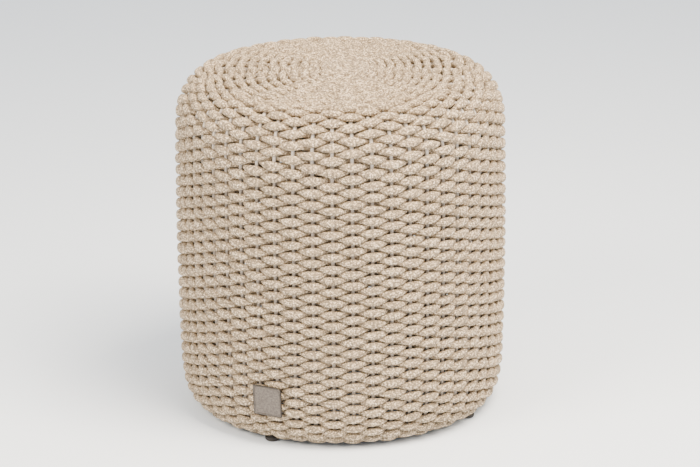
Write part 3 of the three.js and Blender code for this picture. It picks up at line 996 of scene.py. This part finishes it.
def glide_body():
    """A round glide with a rounded foot, a collar round the leg and a ribbed stem in it."""
    bm = bmesh.new()
    bmesh.ops.create_cone(bm, cap_ends=True, segments=64, radius1=GLIDE_RADIUS, radius2=GLIDE_RADIUS,
                          depth=GLIDE_HEIGHT)
    bmesh.ops.translate(bm, verts=bm.verts, vec=(0, 0, GLIDE_HEIGHT / 2))
    bevel(bm, [e for e in bm.edges if all(v.co.z < 1e-6 for v in e.verts)], GLIDE_ROUND, 8)
    bevel(bm, [e for e in bm.edges if all(v.co.z > GLIDE_HEIGHT - 1e-6 for v in e.verts)],
          GLIDE_TOP_ROUND, 3)
    bm.normal_update()
    top = top_face(bm)
    rim = GLIDE_RADIUS - GLIDE_TOP_ROUND
    top = stepped(bm, top, COLLAR_RADIUS / rim, 0)
    top = stepped(bm, top, COLLAR_TAPER, COLLAR_HEIGHT)
    top = stepped(bm, top, COLLAR_BORE / (COLLAR_TAPER * COLLAR_RADIUS), 0)
    top = stepped(bm, top, 1, -COLLAR_HEIGHT)
    top = stepped(bm, top, STEM_RADIUS / COLLAR_BORE, 0)
    rib = STEM_LENGTH / STEM_RIBS
    for _ in range(STEM_RIBS):
        for share, rise in ((RIB_WAIST, rib * 0.25), (1 / RIB_WAIST, rib * 0.25), (RIB_TAPER, rib * 0.5)):
            top = stepped(bm, top, share, rise)
    bmesh.ops.recalc_face_normals(bm, faces=bm.faces)
    return bm


class FOOTSTOOL_OT_glides(bpy.types.Operator):
    """Mould the four round glides with their stems"""

    bl_idname = "footstool.glides"
    bl_label = "Glides"

    def execute(self, context):
        metal = context.scene.footstool_metal
        plastic = glide_plastic(metal.glide)
        for index in range(4):
            node = f"foot_glide_{index + 1}"
            low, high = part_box(node)
            bm = glide_body()
            bmesh.ops.translate(bm, verts=bm.verts, vec=((low.x + high.x) / 2, (low.y + high.y) / 2, 0))
            finished(f"glide_{index + 1}", bm, plastic, (node,), flat_over=1e-5)
        return {"FINISHED"}


def plate_body():
    """A plate with one large corner, a softened edge and a thin groove inside it. Its face is blank."""
    bm = bmesh.new()
    bmesh.ops.create_cube(bm, size=1.0)
    bmesh.ops.scale(bm, verts=bm.verts, vec=(PLATE_WIDTH, PLATE_HEIGHT, PLATE_THICKNESS))
    corners = [e for e in bm.edges if abs(e.verts[0].co.z - e.verts[1].co.z) > PLATE_THICKNESS / 2]
    large = [e for e in corners if e.verts[0].co.x > 0 and e.verts[0].co.y > 0]
    small = [e for e in corners if e not in large]
    bevel(bm, small, PLATE_CORNER, 5)
    bevel(bm, [e for e in large if e.is_valid], PLATE_LARGE_CORNER, 10)
    bm.normal_update()
    bevel(bm, top_face(bm).edges[:], PLATE_EDGE, 3)
    bm.normal_update()
    face = top_face(bm)
    for narrower, rise in ((PLATE_BORDER, 0), (0, -PLATE_GROOVE), (PLATE_GROOVE, 0), (0, PLATE_GROOVE)):
        face = stepped(bm, face, 1 - 2 * narrower / PLATE_WIDTH, rise)
    layer = bm.loops.layers.uv.new("face")
    for part in bm.faces:
        for loop in part.loops:
            loop[layer].uv = loop.vert.co[:2]
    return bm


class FOOTSTOOL_OT_name_plate(bpy.types.Operator):
    """Cut the blank name plate and set it on the weave"""

    bl_idname = "footstool.name_plate"
    bl_label = "Name plate"

    def execute(self, context):
        metal = context.scene.footstool_metal
        low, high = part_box("name_plate")
        centre = (low + high) / 2
        bm = plate_body()
        turn = Matrix.Rotation(math.atan2(centre.x, -centre.y), 4, "Z")
        lean = Matrix.Rotation(math.pi / 2 + PLATE_LEAN, 4, "X")
        bmesh.ops.transform(bm, verts=bm.verts, matrix=Matrix.Translation(centre) @ turn @ lean)
        finished("name_plate_blank", bm, plate_metal(metal.plate), ("name_plate",), flat_over=2e-5)
        return {"FINISHED"}


# Stage

def hang_light(collection, name, place, power):
    """One of the large square lamps."""
    data = bpy.data.lights.new(name, "AREA")
    data.size, data.energy, data.color = LAMP_SIZE, power, LIGHT_COLOUR
    light = bpy.data.objects.new(name, data)
    light.location = place
    light.rotation_euler = (LAMP_TARGET - light.location).to_track_quat("-Z", "Y").to_euler()
    collection.objects.link(light)


def set_camera(scene):
    """The camera at its fitted place, turned by its pan, tilt and roll."""
    level = math.cos(CAMERA_TILT)
    forward = Vector((math.sin(CAMERA_PAN) * level, math.cos(CAMERA_PAN) * level, -math.sin(CAMERA_TILT)))
    right = forward.cross(Vector((0, 0, 1))).normalized()
    up = right.cross(forward)
    turned_right = math.cos(CAMERA_ROLL) * right - math.sin(CAMERA_ROLL) * up
    turned_up = math.cos(CAMERA_ROLL) * up + math.sin(CAMERA_ROLL) * right
    axes = Matrix((turned_right, turned_up, -forward)).transposed().to_4x4()
    data = bpy.data.cameras.new("camera")
    data.sensor_width, data.lens = SENSOR_WIDTH, FOCAL_PIXELS / PICTURE_PIXELS * SENSOR_WIDTH
    data.clip_start, data.clip_end = 0.1, 30
    camera = bpy.data.objects.new("camera", data)
    camera.matrix_world = Matrix.Translation(CAMERA_PLACE) @ axes
    scene.collection.objects.link(camera)
    scene.camera = camera


class FOOTSTOOL_OT_stage(bpy.types.Operator):
    """Lay the pale floor, hang the soft lights and set the camera"""

    bl_idname = "footstool.stage"
    bl_label = "Stage"

    def execute(self, context):
        look = context.scene.footstool_stage
        bm = bmesh.new()
        bmesh.ops.create_grid(bm, x_segments=2, y_segments=2, size=FLOOR_HALF_WIDTH)
        finished("floor", bm, studio_paper(look.floor), stage=True)
        world = bpy.data.worlds.new("studio")
        world.use_nodes = True
        sky = world.node_tree.nodes["Background"].inputs
        sky["Color"].default_value = (*SKY_COLOUR, 1)
        sky["Strength"].default_value = look.sky_strength
        context.scene.world = world
        lights = [("key", (0.75, -0.75, 2.35), look.key_power),
                  ("fill_left", (-1.7, -1.5, 1.8), look.left_power),
                  ("fill_right", (1.7, -1.4, 1.9), look.right_power)]
        for light in lights:
            hang_light(context.scene.collection, *light)
        set_camera(context.scene)
        return {"FINISHED"}


class FOOTSTOOL_PT_panel(bpy.types.Panel):
    """Lists the footstool's pieces"""

    bl_label = "Footstool"
    bl_idname = "FOOTSTOOL_PT_panel"
    bl_space_type = "VIEW_3D"
    bl_region_type = "UI"
    bl_category = "Footstool"

    def draw(self, context):
        scene = context.scene
        for settings in (scene.footstool_rope, scene.footstool_metal, scene.footstool_stage):
            for key in settings.__annotations__:
                self.layout.prop(settings, key)
        for operator in OPERATORS:
            self.layout.operator(operator.bl_idname)


OPERATORS = (FOOTSTOOL_OT_stage, FOOTSTOOL_OT_rope_cover, FOOTSTOOL_OT_rods, FOOTSTOOL_OT_frame,
             FOOTSTOOL_OT_glides, FOOTSTOOL_OT_name_plate)
GROUPS = {"footstool_rope": FOOTSTOOL_PG_rope, "footstool_metal": FOOTSTOOL_PG_metal,
          "footstool_stage": FOOTSTOOL_PG_stage}
CLASSES = (*GROUPS.values(), *OPERATORS, FOOTSTOOL_PT_panel)


def register():
    for kind in CLASSES:
        bpy.utils.register_class(kind)
    for name, group in GROUPS.items():
        setattr(bpy.types.Scene, name, bpy.props.PointerProperty(type=group))


def unregister():
    for name in GROUPS:
        delattr(bpy.types.Scene, name)
    for kind in reversed(CLASSES):
        bpy.utils.unregister_class(kind)


def main():
    register()
    bpy.ops.footstool.stage()
    bpy.ops.footstool.rope_cover()
    bpy.ops.footstool.rods()
    bpy.ops.footstool.frame()
    bpy.ops.footstool.glides()
    bpy.ops.footstool.name_plate()


if __name__ == "__main__":
    main()
